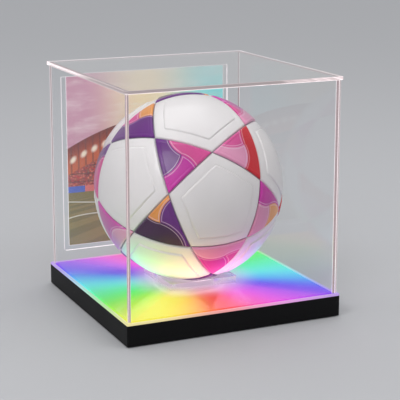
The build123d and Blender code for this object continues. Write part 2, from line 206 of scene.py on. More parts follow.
def make_fine_grain():
    """Moulded or coated surface: a height, a roughness and a colour that vary a little."""
    tree, put, out = start_group(
        "fine_grain",
        [("Colour", COLOUR, (0.5, 0.5, 0.5)), ("Roughness", FLOAT, 0.5), ("Grain", FLOAT, 900.0),
         ("Patches", FLOAT, 14.0), ("Variation", FLOAT, 0.15), ("Shade", FLOAT, 1.6)],
        [("Colour", COLOUR), ("Roughness", FLOAT), ("Height", FLOAT)])
    place = own_place(tree)
    grain = noise(tree, place, put["Grain"], 3.0, 0.6)
    patches = noise(tree, place, put["Patches"], 3.0, 0.55)
    change = times(tree, minus(tree, patches, 0.5), put["Variation"])
    plug(tree, out["Roughness"], plus(tree, put["Roughness"], change, clamp=True))
    shade = plus(tree, times(tree, change, put["Shade"]), 1.0)
    plug(tree, out["Colour"], vector_calc(tree, "MULTIPLY", put["Colour"], shade))
    plug(tree, out["Height"], grain)
    return tree


# How square a face is to the sheet's thickness: on its cut edges, and on its flat sides
CUT_FACING = (0.30, 0.50)
FLAT_FACING = (0.85, 0.98)


def make_sheet_edge():
    """Masks of a flat sheet: its cut edges, and the narrow polished corners beside them."""
    tree, put, out = start_group(
        "sheet_edge", [("Across", VECTOR, (0, 1, 0))], [("Cut", FLOAT), ("Corner", FLOAT)])
    facing = add_node(tree, "ShaderNodeNewGeometry").outputs["Normal"]
    square = calc(tree, "ABSOLUTE", vector_calc(tree, "DOT_PRODUCT", facing, put["Across"]))
    cut = minus(tree, 1.0, ramp_between(tree, square, *CUT_FACING))
    flat = ramp_between(tree, square, *FLAT_FACING)
    plug(tree, out["Cut"], cut)
    plug(tree, out["Corner"], minus(tree, minus(tree, 1.0, cut), flat, clamp=True))
    return tree


# Light plate: the colours, and where they stand: the edge, how far along it, and the colour there
LIGHT_COLOURS = {
    "yellow": (0.96, 0.86, 0.06), "amber": (1.0, 0.55, 0.05), "red": (1.0, 0.09, 0.06),
    "rose": (1.0, 0.10, 0.45), "magenta": (0.93, 0.08, 0.86), "violet": (0.42, 0.07, 0.92),
    "indigo": (0.20, 0.05, 0.88), "blue": (0.10, 0.08, 0.92), "azure": (0.06, 0.42, 0.95),
    "cyan": (0.12, 0.90, 0.92), "mint": (0.08, 0.95, 0.42), "green": (0.10, 0.93, 0.08),
    "lime": (0.52, 0.95, 0.04),
}
LIGHT_ROUND = [
    ("front", 0.00, "yellow"), ("front", 0.17, "yellow"), ("front", 0.29, "amber"), ("front", 0.40, "red"),
    ("front", 0.50, "red"), ("front", 0.59, "rose"), ("front", 0.72, "magenta"), ("front", 0.91, "violet"),
    ("right", 0.01, "indigo"), ("right", 0.13, "blue"), ("right", 0.26, "azure"), ("right", 0.42, "cyan"),
    ("right", 0.61, "mint"), ("right", 0.80, "green"), ("rear", 0.02, "lime"), ("rear", 0.18, "yellow"),
    ("rear", 0.34, "amber"), ("rear", 0.48, "red"), ("rear", 0.62, "rose"), ("rear", 0.76, "magenta"),
    ("rear", 0.90, "violet"), ("left", 0.04, "indigo"), ("left", 0.16, "blue"), ("left", 0.28, "azure"),
    ("left", 0.42, "cyan"), ("left", 0.55, "mint"), ("left", 0.70, "green"), ("left", 0.85, "lime"),
]
EDGE_STARTS = {"front": (-1, -1), "right": (1, -1), "rear": (1, 1), "left": (-1, 1)}
EDGE_WAYS = {"front": (1, 0), "right": (0, 1), "rear": (-1, 0), "left": (0, -1)}
CORNER_TO_X = 3 / 8
PALE_MIDDLE = (0.20, 0.68)
# How much darker the painted shadow under the riser makes the plate
PAINTED_RISER_SHADOW = 0.2
RIM_WHITE = (0.86, 0.72, 0.76)


def share_of_turn(edge, along):
    """Where a point of the square's outline lies on a full turn, from the front left corner."""
    x = EDGE_STARTS[edge][0] + 2 * along * EDGE_WAYS[edge][0]
    y = EDGE_STARTS[edge][1] + 2 * along * EDGE_WAYS[edge][1]
    return ((math.atan2(y, x) - math.atan2(-1, -1)) / FULL_TURN) % 1.0


def colours_by_turn(tree, share):
    """The colour of the light at each share of a full turn, which ends as it starts."""
    ring = add_node(tree, "ShaderNodeValToRGB")
    ring.color_ramp.interpolation = "B_SPLINE"
    stops = ring.color_ramp.elements
    for i, (edge, along, name) in enumerate(LIGHT_ROUND):
        place = share_of_turn(edge, along)
        stop = stops[0] if i == 0 else stops.new(place)
        stop.position = place
        stop.color = (*LIGHT_COLOURS[name], 1)
    end = stops[len(stops) - 1]
    end.position = 1.0
    end.color = (*LIGHT_COLOURS[LIGHT_ROUND[0][2]], 1)
    plug(tree, ring.inputs["Fac"], share)
    return ring.outputs["Color"]


def make_ring_of_light():
    """Colour of the lit plate: bands that fan out from the middle, pale in the middle and at the rim, with a
    painted shadow under the riser.
    """
    tree, put, out = start_group(
        "ring_of_light",
        [("Half Side", FLOAT, 0.13), ("Wall Half", FLOAT, 0.1275), ("Riser Half", FLOAT, 0.042),
         ("Middle", COLOUR, (0.76, 0.58, 0.76)), ("Rim White", FLOAT, 0.45)],
        [("Colour", COLOUR)])
    x, y, _ = apart(tree, own_place(tree))
    turn = calc(tree, "DIVIDE", calc(tree, "ARCTAN2", y, x), FULL_TURN)
    bands = colours_by_turn(tree, calc(tree, "FRACT", plus(tree, turn, CORNER_TO_X + 1.0)))
    out_share = calc(tree, "DIVIDE", flat_length(tree, x, y), put["Half Side"])
    paleness = minus(tree, 1.0, ramp_between(tree, out_share, *PALE_MIDDLE))
    colour = colour_mix(tree, paleness, bands, put["Middle"])
    # Painted shadow: the plate's colour is darker where the riser stands on it.
    reach = calc(tree, "MAXIMUM", calc(tree, "ABSOLUTE", x), calc(tree, "ABSOLUTE", y))
    under_riser = calc(tree, "LESS_THAN", reach, put["Riser Half"])
    after_painted_shadow = minus(tree, 1.0, times(tree, under_riser, PAINTED_RISER_SHADOW))
    colour = vector_calc(tree, "MULTIPLY", colour, after_painted_shadow)
    rim = calc(tree, "GREATER_THAN", reach, put["Wall Half"])
    plug(tree, out["Colour"], colour_mix(tree, times(tree, rim, put["Rim White"]), colour, RIM_WHITE))
    return tree


# Print of the three-sided panels, in shares of a turn and of the panel's half size
BLADE_ENDS = (0.48, 0.78)
SWIRL = 0.7
LINE_AWAY = 0.045
LINE_FADE = (0.006, 0.016)
LINE_SHARE = 0.55
MIDDLE_SHADE = 0.88
OUTER_SHADE = 0.24


def make_folded_print():
    """Three unequal blades of colour round a point beside the panel's middle, with pale double lines."""
    tree, put, out = start_group(
        "folded_print",
        [("Wide", COLOUR, (0.7, 0.1, 0.4)), ("Middle", COLOUR, (0.8, 0.4, 0.1)),
         ("Narrow", COLOUR, (0.2, 0.05, 0.3)), ("Line", COLOUR, (0.85, 0.6, 0.75)),
         ("Turn", FLOAT, 0.0), ("Off Middle", FLOAT, 0.16)],
        [("Colour", COLOUR)])
    u, v, _ = apart(tree, add_node(tree, "ShaderNodeUVMap", uv_map="panel").outputs["UV"])
    u = minus(tree, u, times(tree, calc(tree, "COSINE", put["Turn"]), put["Off Middle"]))
    v = minus(tree, v, times(tree, calc(tree, "SINE", put["Turn"]), put["Off Middle"]))
    far = flat_length(tree, u, v)
    turn = plus(tree, calc(tree, "ARCTAN2", v, u), times(tree, far, SWIRL))
    whole = calc(tree, "DIVIDE", plus(tree, turn, put["Turn"]), FULL_TURN)
    share = calc(tree, "FRACT", plus(tree, whole, 3.0))
    flat = colour_mix(tree, calc(tree, "GREATER_THAN", share, BLADE_ENDS[0]), put["Wide"], put["Middle"])
    flat = colour_mix(tree, calc(tree, "GREATER_THAN", share, BLADE_ENDS[1]), flat, put["Narrow"])
    nearest = away_from(tree, share, 0.0)
    for end in (*BLADE_ENDS, 1.0):
        nearest = calc(tree, "MINIMUM", nearest, away_from(tree, share, end))
    width = times(tree, times(tree, nearest, far), FULL_TURN)
    line = minus(tree, 1.0, ramp_between(tree, away_from(tree, width, LINE_AWAY), *LINE_FADE))
    shade = plus(tree, times(tree, far, OUTER_SHADE), MIDDLE_SHADE)
    shaded = vector_calc(tree, "MULTIPLY", flat, shade)
    plug(tree, out["Colour"], colour_mix(tree, times(tree, line, LINE_SHARE), shaded, put["Line"]))
    return tree


# The evening picture: u runs over the card's width, v up from its foot, both from 0 to 1

PICTURE_COLOURS = {
    "lilac": (0.62, 0.31, 0.42), "warm white": (0.90, 0.76, 0.52), "pale cyan": (0.30, 0.74, 0.74),
    "cloud": (0.95, 0.88, 0.84), "roof top": (0.20, 0.02, 0.012), "roof foot": (0.62, 0.12, 0.035),
    "bay line": (0.10, 0.02, 0.02), "crowd": (0.55, 0.07, 0.06), "heads": (0.75, 0.20, 0.12),
    "aisle": (0.06, 0.02, 0.03), "tier shade": (0.035, 0.02, 0.03), "board blue": (0.06, 0.12, 0.55),
    "board red": (0.75, 0.16, 0.14), "dark grass": (0.20, 0.15, 0.03), "light grass": (0.29, 0.21, 0.05),
    "blades": (0.10, 0.12, 0.03), "chalk": (0.78, 0.76, 0.62), "lamp": (1.0, 0.86, 0.68),
}

# Sky
LILAC_TO_WARM = (0.10, 0.46)
WARM_TO_CYAN = (0.50, 0.92)
CLOUD_SQUASH = (2.2, 7.0, 1)
CLOUD_EDGE = (0.45, 0.75)
CLOUD_SHARE = 0.45

# Roof and its lamps, with depths below the roof's upper line
ROOF_TOP = 0.74
ROOF_MIDDLE = 0.62
ROOF_BOW = -0.42
ROOF_LIGHTENS = (0.0, 0.13)
ROOF_FOOT = (0.155, 0.165)
ROOF_BAYS = 70.0
BAY_LINE = (0.86, 0.99)
BAY_SHARE = 0.5
LAMP_COUNT = 15.0
LAMP_DROP = 0.085
LAMP_HALO = (0.10, 0.42)

# Stands
SEAT_ROWS = 21.0
AISLE = (0.72, 0.95)
AISLE_SHARE = 0.6
CROWD_CELLS = 78.0
CROWD_MIX = 0.65
HEAD_EDGE = (0.10, 0.55)
DARK_TIER = (0.50, 0.575)
TIER_SHARE = 0.75
BOARDS_TOP = 0.352
BOARD_PAIRS = 5.0
BLUE_SHARE = 0.52

# Pitch: the bands meet at a point over its far edge, and the circle is seen at a slant
PITCH_TOP = 0.315
BANDS_MEET = (1.3, 0.40)
BAND_COUNT = 5.2
BAND_EDGE = (-0.3, 0.3)
NEAREST_DEPTH = 0.02
BLADE_SQUASH = (90, 240, 1)
BLADE_SHARE = 0.35
TOUCHLINE_HEIGHT = 0.262
TOUCHLINE_SLOPE = 0.10
TOUCHLINE_HALF = 0.0035
CIRCLE_MIDDLE = (0.16, 0.08)
CIRCLE_SQUASH = (0.9, 2.6)
CIRCLE_RADIUS = 0.26
CIRCLE_HALF = 0.0085
CHALK_SHARE = 0.75


def picture_sky(tree, spot, u):
    """Lilac on the left, warm white in the middle and pale cyan on the right, with thin cloud."""
    ink = PICTURE_COLOURS
    sky = colour_mix(tree, ramp_between(tree, u, *LILAC_TO_WARM), ink["lilac"], ink["warm white"])
    sky = colour_mix(tree, ramp_between(tree, u, *WARM_TO_CYAN), sky, ink["pale cyan"])
    cloud = noise(tree, vector_calc(tree, "MULTIPLY", spot, CLOUD_SQUASH), 1.6, 4.0, 0.6)
    veil = times(tree, ramp_between(tree, cloud, *CLOUD_EDGE), CLOUD_SHARE)
    return colour_mix(tree, veil, sky, ink["cloud"])


def picture_roof(tree, u, under):
    """A deep red roof that grows lighter towards its foot, with dark lines between its bays."""
    ink = PICTURE_COLOURS
    roof = colour_mix(tree, ramp_between(tree, under, *ROOF_LIGHTENS), ink["roof top"], ink["roof foot"])
    bays = calc(tree, "ABSOLUTE", calc(tree, "SINE", times(tree, u, ROOF_BAYS)))
    lines = times(tree, ramp_between(tree, bays, *BAY_LINE), BAY_SHARE)
    return colour_mix(tree, lines, roof, ink["bay line"])


def picture_stands(tree, spot, u, v):
    """Rows of people as dots, a dark tier above and a strip of plain boards at the foot."""
    ink = PICTURE_COLOURS
    cells = add_node(tree, "ShaderNodeTexVoronoi", feature="F1")
    plug(tree, cells.inputs["Vector"], spot)
    plug(tree, cells.inputs["Scale"], CROWD_CELLS)
    crowd = colour_mix(tree, CROWD_MIX, ink["crowd"], cells.outputs["Color"], "MULTIPLY")
    crowd = colour_mix(tree, ramp_between(tree, cells.outputs["Distance"], *HEAD_EDGE), ink["heads"], crowd)
    aisles = ramp_between(tree, repeated(tree, v, SEAT_ROWS), *AISLE)
    crowd = colour_mix(tree, times(tree, aisles, AISLE_SHARE), crowd, ink["aisle"])
    red_board = calc(tree, "GREATER_THAN", repeated(tree, u, BOARD_PAIRS), BLUE_SHARE)
    boards = colour_mix(tree, red_board, ink["board blue"], ink["board red"])
    crowd = colour_mix(tree, between(tree, v, PITCH_TOP, BOARDS_TOP), crowd, boards)
    return colour_mix(tree, times(tree, between(tree, v, *DARK_TIER), TIER_SHARE), crowd, ink["tier shade"])


def picture_pitch(tree, spot, u, v):
    """Mown bands that spread towards the viewer, a touchline and a circle."""
    ink = PICTURE_COLOURS
    depth = calc(tree, "MAXIMUM", minus(tree, BANDS_MEET[1], v), NEAREST_DEPTH)
    spread = times(tree, minus(tree, u, BANDS_MEET[0]), BAND_COUNT)
    mown = ramp_between(tree, calc(tree, "SINE", calc(tree, "DIVIDE", spread, depth)), *BAND_EDGE)
    grass = colour_mix(tree, mown, ink["dark grass"], ink["light grass"])
    blades = noise(tree, vector_calc(tree, "MULTIPLY", spot, BLADE_SQUASH), 1.0, 3.0, 0.6)
    grass = colour_mix(tree, times(tree, blades, BLADE_SHARE), grass, ink["blades"])
    sloped = plus(tree, v, times(tree, u, TOUCHLINE_SLOPE))
    touchline = calc(tree, "LESS_THAN", away_from(tree, sloped, TOUCHLINE_HEIGHT), TOUCHLINE_HALF)
    across = times(tree, minus(tree, u, CIRCLE_MIDDLE[0]), CIRCLE_SQUASH[0])
    along = times(tree, minus(tree, v, CIRCLE_MIDDLE[1]), CIRCLE_SQUASH[1])
    away = away_from(tree, flat_length(tree, across, along), CIRCLE_RADIUS)
    circle = calc(tree, "LESS_THAN", away, CIRCLE_HALF)
    line = calc(tree, "MAXIMUM", touchline, circle)
    return colour_mix(tree, times(tree, line, CHALK_SHARE), grass, ink["chalk"])


def picture_lamps(tree, u, under):
    """Mask of a row of bright points with a soft halo, which follows the roof."""
    lamp_u = minus(tree, repeated(tree, u, LAMP_COUNT), 0.5)
    lamp_v = times(tree, minus(tree, under, LAMP_DROP), LAMP_COUNT)
    return minus(tree, 1.0, ramp_between(tree, flat_length(tree, lamp_u, lamp_v), *LAMP_HALO))


def make_pitch_picture():
    """A generic evening picture: a pale sky, one arched roof with lamps, rows of stands and a mown pitch."""
    tree, put, out = start_group(
        "pitch_picture",
        [("Low", VECTOR, (-0.1, 0, 0.05)), ("Size", VECTOR, (0.2, 1, 0.2))],
        [("Colour", COLOUR)])
    from_low = vector_calc(tree, "SUBTRACT", own_place(tree), put["Low"])
    u, _, v = apart(tree, vector_calc(tree, "DIVIDE", from_low, put["Size"]))
    place = add_node(tree, "ShaderNodeCombineXYZ")
    plug(tree, place.inputs[0], u)
    plug(tree, place.inputs[1], v)
    spot = place.outputs[0]
    bow = times(tree, calc(tree, "POWER", away_from(tree, u, ROOF_MIDDLE), 2.0), ROOF_BOW)
    over_roof = minus(tree, v, plus(tree, bow, ROOF_TOP))
    under = times(tree, over_roof, -1.0)
    picture = colour_mix(tree, ramp_between(tree, under, *ROOF_FOOT), picture_roof(tree, u, under),
                         picture_stands(tree, spot, u, v))
    on_pitch = calc(tree, "LESS_THAN", v, PITCH_TOP)
    picture = colour_mix(tree, on_pitch, picture, picture_pitch(tree, spot, u, v))
    in_sky = calc(tree, "GREATER_THAN", over_roof, 0.0)
    picture = colour_mix(tree, in_sky, picture, picture_sky(tree, spot, u))
    picture = colour_mix(tree, picture_lamps(tree, u, under), picture, PICTURE_COLOURS["lamp"])
    plug(tree, out["Colour"], picture)
    return tree


grain_group = make_fine_grain()
edge_group = make_sheet_edge()
light_group = make_ring_of_light()
print_group = make_folded_print()
picture_group = make_pitch_picture()


# Finishes

def new_finish(name):
    """A material with its node tree and its Principled shader."""
    made = bpy.data.materials.new(name)
    made.use_nodes = True
    return made, made.node_tree, made.node_tree.nodes["Principled BSDF"]


def bump_from(tree, shader, height, strength, distance):
    """Feed a height through a Bump node into the shader's normal."""
    bump = add_node(tree, "ShaderNodeBump")
    bump.inputs["Strength"].default_value = strength
    bump.inputs["Distance"].default_value = distance
    plug(tree, bump.inputs["Height"], height)
    plug(tree, shader.inputs["Normal"], bump.outputs["Normal"])


def grained(name, colour, roughness, grain=900.0, patches=14.0, variation=0.15, bump=0.2, depth=0.2 * MM,
            metallic=0.0, coat=0.0, specular=0.5):
    """A moulded, coated or rolled surface with fine grain and uneven gloss."""
    made, tree, shader = new_finish(name)
    out = place_group(tree, grain_group, Colour=colour, Roughness=roughness, Grain=grain, Patches=patches,
                      Variation=variation)
    plug(tree, shader.inputs["Base Color"], out["Colour"])
    plug(tree, shader.inputs["Roughness"], out["Roughness"])
    shader.inputs["Metallic"].default_value = metallic
    shader.inputs["Coat Weight"].default_value = coat
    shader.inputs["Specular IOR Level"].default_value = specular
    bump_from(tree, shader, out["Height"], bump, depth)
    return made


def let_lamps_through(tree, shader, passed):
    """Rays from lamps go straight through the sheet, so that what is behind it is lit."""
    clear = add_node(tree, "ShaderNodeBsdfTransparent")
    plug(tree, clear.inputs["Color"], passed)
    path = add_node(tree, "ShaderNodeLightPath")
    choose = add_node(tree, "ShaderNodeMixShader")
    plug(tree, choose.inputs[0], path.outputs["Is Shadow Ray"])
    plug(tree, choose.inputs[1], shader.outputs[0])
    plug(tree, choose.inputs[2], clear.outputs[0])
    plug(tree, tree.nodes["Material Output"].inputs["Surface"], choose.outputs[0])


# Real acrylic has an index near 1.49, which would lay a veil of the pale studio over every pane
SHEET_INDEX = 1.16
RISER_INDEX = 1.42
FACE_TINT = (0.985, 0.99, 0.995)
FACE_HAZE = 0.02
SAW_ROUGHNESS = 0.10
SAW_MARKS = 0.14
# Tint of the painted glow on the sheets' cut edges and polished corners
PAINTED_GLOW_TINT = (1.0, 0.86, 0.88)
LAMP_LIGHT_PASSED = (0.96, 0.96, 0.96)


def clear_sheet(name, across, cut_painted_glow=0.08, corner_painted_glow=0.6, cut_tint=(0.84, 0.78, 0.79), sawn=1.0,
                index=SHEET_INDEX):
    """Clear acrylic: faces nearly free of haze, matt cut edges and polished corners, with a painted glow on
    the cut edges and painted highlight lines on the corners.
    """
    made, tree, shader = new_finish(name)
    out = place_group(tree, edge_group, Across=across)
    haze = noise(tree, own_place(tree), 9.0, 3.0, 0.5)
    saw_marks = noise(tree, own_place(tree), 420.0, 2.0, 0.6)
    sawn_rough = plus(tree, times(tree, saw_marks, SAW_MARKS * sawn), SAW_ROUGHNESS * sawn)
    cut_rough = times(tree, out["Cut"], sawn_rough)
    plug(tree, shader.inputs["Roughness"], plus(tree, times(tree, haze, FACE_HAZE), cut_rough))
    plug(tree, shader.inputs["Base Color"], colour_mix(tree, out["Cut"], FACE_TINT, cut_tint))
    # Painted light: emission makes the cut edges glow and paints a brighter highlight on the polished
    # corners, though the sheet is no lamp.
    painted_edge_glow = plus(tree, times(tree, out["Cut"], cut_painted_glow), times(tree, out["Corner"], corner_painted_glow))
    plug(tree, shader.inputs["Emission Color"], vector_calc(tree, "MULTIPLY", PAINTED_GLOW_TINT, painted_edge_glow))
    shader.inputs["Emission Strength"].default_value = 1.0
    shader.inputs["Transmission Weight"].default_value = 1.0
    shader.inputs["IOR"].default_value = index
    let_lamps_through(tree, shader, LAMP_LIGHT_PASSED)
    return made


PLATE_GLOW = 0.80
PLATE_DARK = (0.03, 0.03, 0.03)
PLATE_DARK_SHARE = 0.92
PLATE_ROUGHNESS = 0.10
PLATE_CLOUDS = 0.06
PLATE_SPECULAR = 0.16
UNDER_WALL = 0.5 * MM


def lit_plate_finish():
    """Glossy clear plate that glows in bands of colour."""
    made, tree, shader = new_finish("lit_plate")
    out = place_group(tree, light_group, Half_Side=plate_high.x, Wall_Half=wall_high.x - UNDER_WALL,
                      Riser_Half=riser_high.x)
    cloudy = noise(tree, own_place(tree), 26.0, 2.0, 0.5)
    plug(tree, shader.inputs["Base Color"], colour_mix(tree, PLATE_DARK_SHARE, out["Colour"], PLATE_DARK))
    plug(tree, shader.inputs["Emission Color"], out["Colour"])
    shader.inputs["Emission Strength"].default_value = PLATE_GLOW
    plug(tree, shader.inputs["Roughness"], plus(tree, times(tree, cloudy, PLATE_CLOUDS), PLATE_ROUGHNESS))
    shader.inputs["Specular IOR Level"].default_value = PLATE_SPECULAR
    return made


PICTURE_PAINTED_GLOW = 0.30


def picture_finish():
    """Gloss photo card with the evening picture, with a painted glow that stands in for light from the plate
    below.
    """
    made, tree, shader = new_finish("picture_print")
    size = card_high - card_low
    out = place_group(tree, picture_group, Low=tuple(card_low), Size=(size.x, 1.0, size.z))
    plug(tree, shader.inputs["Base Color"], out["Colour"])
    # Painted light: the card glows in its own colours, though it is no lamp.
    plug(tree, shader.inputs["Emission Color"], out["Colour"])
    shader.inputs["Emission Strength"].default_value = PICTURE_PAINTED_GLOW
    wave = noise(tree, own_place(tree), 30.0, 2.0, 0.5)
    plug(tree, shader.inputs["Roughness"], plus(tree, times(tree, wave, 0.08), 0.20))
    bump_from(tree, shader, wave, 0.1, 0.3 * MM)
    return made


def ball_coat(tree, shader, colour):
    """Glossy coat over a panel of the ball."""
    out = place_group(tree, grain_group, Colour=colour, Roughness=0.34, Grain=1500.0, Patches=18.0,
                      Variation=0.10)
    plug(tree, shader.inputs["Base Color"], out["Colour"])
    plug(tree, shader.inputs["Roughness"], out["Roughness"])
    shader.inputs["Coat Weight"].default_value = 0.45
    shader.inputs["Coat Roughness"].default_value = 0.06
    shader.inputs["Specular IOR Level"].default_value = 0.35
    bump_from(tree, shader, out["Height"], 0.12, 0.1 * MM)


PANEL_WHITE = (0.82, 0.785, 0.78)
PRINT_COLOURS = {
    "pink": (0.70, 0.075, 0.30), "hot": (0.58, 0.03, 0.36), "plum": (0.05, 0.008, 0.06),
    "violet": (0.13, 0.015, 0.20), "orange": (0.82, 0.33, 0.08), "red": (0.62, 0.008, 0.02),
    "blush": (0.76, 0.30, 0.48),
}
# The wide, middle and narrow blade of each print, how far each print is turned, and each panel's print
PRINT_SETS = [
    ("pink", "violet", "hot"), ("plum", "violet", "orange"), ("red", "pink", "blush"),
    ("blush", "hot", "pink"), ("violet", "orange", "pink"), ("hot", "blush", "orange"),
]
FIRST_PRINT_TURN = 0.6
PRINT_TURN_STEP = 1.9
PRINT_OF_PANEL = (3, 5, 1, 0, 2, 1, 2, 0, 4, 3, 3, 4, 1, 5, 0, 2, 4, 5, 3, 1)


def white_coat():
    """The plain five-sided panels."""
    made, tree, shader = new_finish("ball_white_coat")
    ball_coat(tree, shader, PANEL_WHITE)
    return made


def print_coat(number, names):
    """One of the folded prints of the three-sided panels."""
    made, tree, shader = new_finish(f"ball_print_{number}")
    wide, middle, narrow = (PRINT_COLOURS[name] for name in names)
    out = place_group(tree, print_group, Wide=wide, Middle=middle, Narrow=narrow,
                      Turn=FIRST_PRINT_TURN + PRINT_TURN_STEP * number)
    ball_coat(tree, shader, out["Colour"])
    return made


# New pieces

def add_object(name, data):
    """An object of the scene with its mesh, lamp or camera."""
    made = bpy.data.objects.new(name, data)
    bpy.context.scene.collection.objects.link(made)
    return made


def add_mesh(name, mesh):
    """An object made from a finished bmesh."""
    bmesh.ops.recalc_face_normals(mesh, faces=mesh.faces)
    data = bpy.data.meshes.new(name)
    mesh.to_mesh(data)
    mesh.free()
    return add_object(name, data)


# The ball's panels: twelve with five sides, whose corners meet, and twenty with three sides between them

GOLDEN = (1 + math.sqrt(5)) / 2
BALL_RADIUS = 110.0 * MM
BALL_TILTS = (-3.0, -22.0, 26.0)
COVER_THICK = 2.5 * MM
SEAM_HALF = 0.45 * MM
EDGE_ROLL = 2.2 * MM
EDGE_RINGS = 5
WIDE_RINGS = 9
SIDE_POINTS = 14
LEAST_RING_GAP = 0.08 * MM
LINE_RING_GAP = 0.4 * MM

# Raised pad of a white panel, its rise to either side of its line, and the groove outside it
PAD_LINE = 13.2 * MM
PAD_STEP = 1.1 * MM
PAD_RISE = (0.5 * MM, 1.1 * MM)
GROOVE_AWAY = 0.8 * MM
GROOVE_WIDTH = 0.8 * MM
GROOVE_DEPTH = 0.35 * MM

# Pressed line of a printed panel
PRINT_LINE = 4.6 * MM
PRINT_LINE_WIDTH = 0.5 * MM
PRINT_LINE_DEPTH = 0.28 * MM


def panel_axes():
    """Directions of the middles of the five-sided panels, turned about X, then Y, then Z of the ball."""
    about_x, about_y, about_z = (
        Matrix.Rotation(math.radians(tilt), 3, axis) for tilt, axis in zip(BALL_TILTS, "XYZ"))
    turn = about_x @ about_y @ about_z
    axes = []
    for a in (-1, 1):
        for b in (-GOLDEN, GOLDEN):
            for point in ((0, a, b), (a, b, 0), (b, 0, a)):
                axes.append((turn @ Vector(point)).normalized())
    return axes


def beside(first, second):
    """Whether two five-sided panels share a corner: they lie 63 degrees apart."""
    return 0 < first.dot(second) < 0.9


def panel_frames():
    """Each panel's middle and the direction of one corner, for both kinds."""
    axes = panel_axes()
    fives = []
    threes = []
    for i, first in enumerate(axes):
        near = [axis for axis in axes if beside(first, axis)]
        fives.append((first, first + near[0]))
        later = [axis for axis in axes[i + 1:] if beside(first, axis)]
        for j, second in enumerate(later):
            for third in later[j + 1:]:
                if beside(second, third):
                    threes.append(((first + second + third).normalized(), first + second))
    return fives, threes


def side_ring(sides, lean, inset):
    """Points on a unit sphere, round a panel about +Z, at one distance from its seams.

    Each seam lies in a plane through the ball's middle. A side of the ring is the cut of the sphere with
    a parallel plane, from its corner with the side before to its corner with the side after.
    """
    points = []
    sink = math.sin(inset / BALL_RADIUS)
    radius = math.sqrt(1 - sink * sink)
    upright = Vector((0, 0, 1))
    for k in range(sides):
        middle = FULL_TURN * (k + 0.5) / sides
        outward = Vector((math.cos(middle), math.sin(middle), 0))
        normal = upright * math.sin(lean) - outward * math.cos(lean)
        up = (upright - normal * normal.z).normalized()
        along = normal.cross(up)
        corner = middle + math.pi / sides
        meet = Vector((-math.sin(corner), math.cos(corner), 0))
        a = radius * up.dot(meet)
        b = radius * along.dot(meet)
        c = sink * normal.dot(meet)
        base = math.atan2(b, a)
        spread = math.acos(max(-1, min(1, -c / math.hypot(a, b))))
        limit = min(abs(base + spread), abs(base - spread))
        for i in range(SIDE_POINTS):
            turn = limit * (2 * i / SIDE_POINTS - 1)
            points.append(normal * sink + (up * math.cos(turn) + along * math.sin(turn)) * radius)
    return points


def roll_height(inset):
    """How far the surface drops near a seam: a quarter round."""
    into = inset - SEAM_HALF
    if into >= EDGE_ROLL:
        return 0.0
    return math.sqrt(max(0.0, EDGE_ROLL**2 - (EDGE_ROLL - into) ** 2)) - EDGE_ROLL


def smooth_step(value, low, high):
    share = max(0.0, min(1.0, (value - low) / (high - low)))
    return share * share * (3 - 2 * share)


def five_height(inset):
    """White panel: rolled edge, flat rim, a narrow groove and a raised pad."""
    rim = -PAD_STEP * (1 - smooth_step(inset, PAD_LINE - PAD_RISE[0], PAD_LINE + PAD_RISE[1]))
    groove = -GROOVE_DEPTH * math.exp(-(((inset - PAD_LINE + GROOVE_AWAY) / GROOVE_WIDTH) ** 2))
    return roll_height(inset) + rim + groove


def three_height(inset):
    """Printed panel: rolled edge and one fine pressed line."""
    line = -PRINT_LINE_DEPTH * math.exp(-(((inset - PRINT_LINE) / PRINT_LINE_WIDTH) ** 2))
    return roll_height(inset) + line


def ring_distances(reach, line):
    """Distances of the rings from the seam: close at the edge and at a line, wide elsewhere."""
    quarter = math.pi / 2 / EDGE_RINGS
    near_edge = [SEAM_HALF + EDGE_ROLL * (1 - math.cos(quarter * i)) for i in range(EDGE_RINGS + 1)]
    near_line = [line + LINE_RING_GAP * i for i in range(-5, 6)]
    wide = [reach * i / WIDE_RINGS for i in range(1, WIDE_RINGS)]
    kept = []
    for inset in sorted(near_edge + near_line + wide):
        if not kept or inset - kept[-1] > LEAST_RING_GAP:
            kept.append(inset)
    return kept


def panel_template(sides, spread, height, line):
    """One closed curved slab about +Z: its points, their places on the flat map, and its faces."""
    lean = math.atan(spread * math.cos(math.pi / sides))
    reach = lean * BALL_RADIUS
    insets = ring_distances(reach, line)
    rings = [side_ring(sides, lean, inset) for inset in insets]
    foot = BALL_RADIUS - COVER_THICK
    inner = [[point * foot for point in rings[i]] for i in (len(rings) - 2, len(rings) // 2, 0)]
    outer = [[point * (BALL_RADIUS + height(inset)) for point in ring] for inset, ring in zip(insets, rings)]
    points = [point for ring in inner + outer for point in ring]
    count = len(rings[0])
    last = len(points) - count
    under = len(points)
    crown = under + 1
    points += [Vector((0, 0, foot)), Vector((0, 0, BALL_RADIUS + height(reach)))]
    flat = [(point.x / point.z / spread, point.y / point.z / spread) for point in points]
    after = [(i + 1) % count for i in range(count)]
    faces = []
    for start in range(0, last, count):
        for i, j in enumerate(after):
            faces.append((start + i, start + j, start + count + j, start + count + i))
    for i, j in enumerate(after):
        faces += [(under, j, i), (last + i, last + j, crown)]
    return points, flat, faces


def build_panels(name, frames, template, finish_of_panel):
    """All panels of one kind in one mesh, each turned to its place on the ball and mapped flat."""
    points, flat, faces = template
    mesh = bmesh.new()
    flat_map = mesh.loops.layers.uv.new("panel")
    for (axis, towards), finish in zip(frames, finish_of_panel):
        across = (towards - axis * axis.dot(towards)).normalized()
        turn = Matrix((across, axis.cross(across), axis)).transposed()
        verts = [mesh.verts.new(ball_centre + turn @ point) for point in points]
        for corners in faces:
            face = mesh.faces.new([verts[i] for i in corners])
            face.material_index = finish
            face.smooth = True
            for loop, i in zip(face.loops, corners):
                loop[flat_map].uv = flat[i]
    made = add_mesh(name, mesh)
    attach(made, "ball")
    return made


